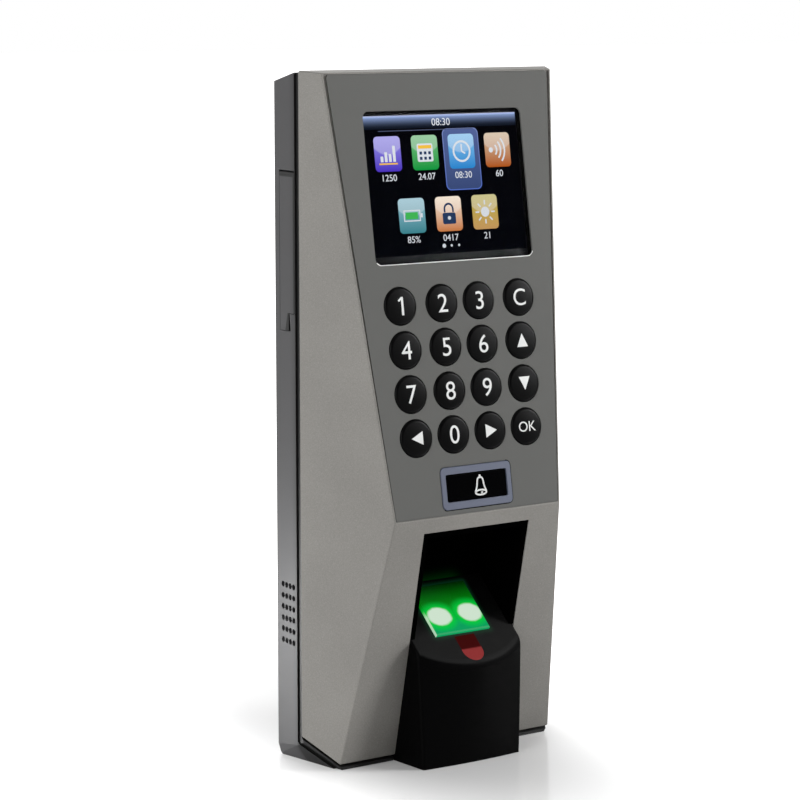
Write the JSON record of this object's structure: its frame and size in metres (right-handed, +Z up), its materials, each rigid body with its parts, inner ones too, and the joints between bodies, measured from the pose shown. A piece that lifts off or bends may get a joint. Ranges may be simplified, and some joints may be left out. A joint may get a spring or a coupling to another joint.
{
  "type": "fingerprint access terminal",
  "caption": "Wall-mounted access terminal: wedge-shaped grey housing with a colour display, round keys, a bell button and a recessed fingerprint sensor.",
  "frame": {"origin": "centre of the wall plate's hole pattern, on the plate's back face", "axes": "+Y into the wall, +Z up, +X towards the right as one faces the terminal"},
  "size_m": [0.08, 0.0396, 0.1844],
  "materials": {
    "cover_paint": "silver-grey paint with a fine sand texture",
    "face_trim": "smooth satin grey",
    "casing_plastic": "satin mid-grey, moulded",
    "clear_lens": "clear, polished",
    "foam": "closed-cell foam",
    "display_face": "dark, polished",
    "bracket_steel": "stamped, zinc plated",
    "key_rubber": "black, soft gloss",
    "bezel_blue": "blue-grey, satin metallic",
    "silicone": "translucent grey silicone",
    "board_green": "solder resist over laminate",
    "gold": "gold plated",
    "screw_steel": "zinc plated",
    "sensor_black": "black, semi-gloss moulding",
    "marker_red": "red inlay",
    "optical_glass": "polished optical glass",
    "lamp_green": "clear green",
    "black_plastic": "black moulding",
    "connector_white": "cream nylon",
    "relay_case": "blue case",
    "can_sleeve": "sleeved aluminium cans",
    "nickel": "nickel plated",
    "ribbon_amber": "polyimide film",
    "terminal_green": "green nylon"
  },
  "bodies": {
    "terminal": {"front_cover": "cover_paint", "face_plate": "face_trim", "back_casing": "casing_plastic", "display_lens": "clear_lens", "display_gasket": "foam", "speaker_gasket": "foam", "display_panel": "display_face", "display_frame": "bracket_steel", "wall_plate": "bracket_steel", "bell_bezel": "bezel_blue", "keypad_mat": "silicone", "keypad_board": "board_green", "main_board": "board_green", "card_antenna": "board_green", "sensor_board": "board_green", "key_contacts": "gold", "cover_screws": "screw_steel", "sensor_screws": "screw_steel", "board_screws": "screw_steel", "casing_screws": "screw_steel", "lock_screw": "screw_steel", "sensor_housing": "sensor_black", "bay_liner": "sensor_black", "finger_marker": "marker_red", "sensor_glass": "optical_glass", "sensor_prism": "optical_glass", "sensor_lamps": "lamp_green", "sensor_camera": "black_plastic", "board_chips": "black_plastic", "buzzer": "black_plastic", "coin_cell_holder": "black_plastic", "board_switches": "black_plastic", "speaker": "black_plastic", "board_connectors": "connector_white", "lock_relay": "relay_case", "capacitors": "can_sleeve", "coin_cell": "nickel", "usb_socket": "nickel", "ribbon_cables": "ribbon_amber", "rear_terminals": "terminal_green"},
    "key_0_body": {"key_0": "key_rubber"},
    "key_1_body": {"key_1": "key_rubber"},
    "key_2_body": {"key_2": "key_rubber"},
    "key_3_body": {"key_3": "key_rubber"},
    "key_4_body": {"key_4": "key_rubber"},
    "key_5_body": {"key_5": "key_rubber"},
    "key_6_body": {"key_6": "key_rubber"},
    "key_7_body": {"key_7": "key_rubber"},
    "key_8_body": {"key_8": "key_rubber"},
    "key_9_body": {"key_9": "key_rubber"},
    "key_clear_body": {"key_clear": "key_rubber"},
    "key_up_body": {"key_up": "key_rubber"},
    "key_down_body": {"key_down": "key_rubber"},
    "key_left_body": {"key_left": "key_rubber"},
    "key_right_body": {"key_right": "key_rubber"},
    "key_ok_body": {"key_ok": "key_rubber"},
    "bell_button_body": {"bell_button": "key_rubber"},
    "reset_button_body": {"reset_button": "black_plastic"},
    "port_flap_body": {"port_flap": "casing_plastic"},
    "tamper_plunger_body": {"tamper_plunger": "black_plastic"}
  },
  "joints": [
    {"name": "key_0_press", "type": "slide", "parent": "terminal", "child": "key_0_body", "axis": [0, 0.9869, -0.1612], "range_m": [0, 0.0008], "stiffness_N_per_m": 600, "springref_m": -0.0005},
    {"name": "key_1_press", "type": "slide", "parent": "terminal", "child": "key_1_body", "axis": [0, 0.9869, -0.1612], "range_m": [0, 0.0008], "stiffness_N_per_m": 600, "springref_m": -0.0005},
    {"name": "key_2_press", "type": "slide", "parent": "terminal", "child": "key_2_body", "axis": [0, 0.9869, -0.1612], "range_m": [0, 0.0008], "stiffness_N_per_m": 600, "springref_m": -0.0005},
    {"name": "key_3_press", "type": "slide", "parent": "terminal", "child": "key_3_body", "axis": [0, 0.9869, -0.1612], "range_m": [0, 0.0008], "stiffness_N_per_m": 600, "springref_m": -0.0005},
    {"name": "key_4_press", "type": "slide", "parent": "terminal", "child": "key_4_body", "axis": [0, 0.9869, -0.1612], "range_m": [0, 0.0008], "stiffness_N_per_m": 600, "springref_m": -0.0005},
    {"name": "key_5_press", "type": "slide", "parent": "terminal", "child": "key_5_body", "axis": [0, 0.9869, -0.1612], "range_m": [0, 0.0008], "stiffness_N_per_m": 600, "springref_m": -0.0005},
    {"name": "key_6_press", "type": "slide", "parent": "terminal", "child": "key_6_body", "axis": [0, 0.9869, -0.1612], "range_m": [0, 0.0008], "stiffness_N_per_m": 600, "springref_m": -0.0005},
    {"name": "key_7_press", "type": "slide", "parent": "terminal", "child": "key_7_body", "axis": [0, 0.9869, -0.1612], "range_m": [0, 0.0008], "stiffness_N_per_m": 600, "springref_m": -0.0005},
    {"name": "key_8_press", "type": "slide", "parent": "terminal", "child": "key_8_body", "axis": [0, 0.9869, -0.1612], "range_m": [0, 0.0008], "stiffness_N_per_m": 600, "springref_m": -0.0005},
    {"name": "key_9_press", "type": "slide", "parent": "terminal", "child": "key_9_body", "axis": [0, 0.9869, -0.1612], "range_m": [0, 0.0008], "stiffness_N_per_m": 600, "springref_m": -0.0005},
    {"name": "key_clear_press", "type": "slide", "parent": "terminal", "child": "key_clear_body", "axis": [0, 0.9869, -0.1612], "range_m": [0, 0.0008], "stiffness_N_per_m": 600, "springref_m": -0.0005},
    {"name": "key_up_press", "type": "slide", "parent": "terminal", "child": "key_up_body", "axis": [0, 0.9869, -0.1612], "range_m": [0, 0.0008], "stiffness_N_per_m": 600, "springref_m": -0.0005},
    {"name": "key_down_press", "type": "slide", "parent": "terminal", "child": "key_down_body", "axis": [0, 0.9869, -0.1612], "range_m": [0, 0.0008], "stiffness_N_per_m": 600, "springref_m": -0.0005},
    {"name": "key_left_press", "type": "slide", "parent": "terminal", "child": "key_left_body", "axis": [0, 0.9869, -0.1612], "range_m": [0, 0.0008], "stiffness_N_per_m": 600, "springref_m": -0.0005},
    {"name": "key_right_press", "type": "slide", "parent": "terminal", "child": "key_right_body", "axis": [0, 0.9869, -0.1612], "range_m": [0, 0.0008], "stiffness_N_per_m": 600, "springref_m": -0.0005},
    {"name": "key_ok_press", "type": "slide", "parent": "terminal", "child": "key_ok_body", "axis": [0, 0.9869, -0.1612], "range_m": [0, 0.0008], "stiffness_N_per_m": 600, "springref_m": -0.0005},
    {"name": "bell_button_press", "type": "slide", "parent": "terminal", "child": "bell_button_body", "axis": [0, 0.9869, -0.1612], "range_m": [0, 0.0008], "stiffness_N_per_m": 600, "springref_m": -0.0005},
    {"name": "reset_button_press", "type": "slide", "parent": "terminal", "child": "reset_button_body", "axis": [1, 0, 0], "range_m": [0, 0.0005], "stiffness_N_per_m": 800, "springref_m": -0.0003},
    {"name": "port_flap_hinge", "type": "hinge", "parent": "terminal", "child": "port_flap_body", "pos_m": [-0.039, -0.007, 0.066], "axis": [0, 1, 0], "range_deg": [0, 90]},
    {"name": "tamper_plunger_press", "type": "slide", "parent": "terminal", "child": "tamper_plunger_body", "axis": [0, -1, 0], "range_m": [0, 0.0012], "stiffness_N_per_m": 300, "springref_m": -0.001}
  ]
}
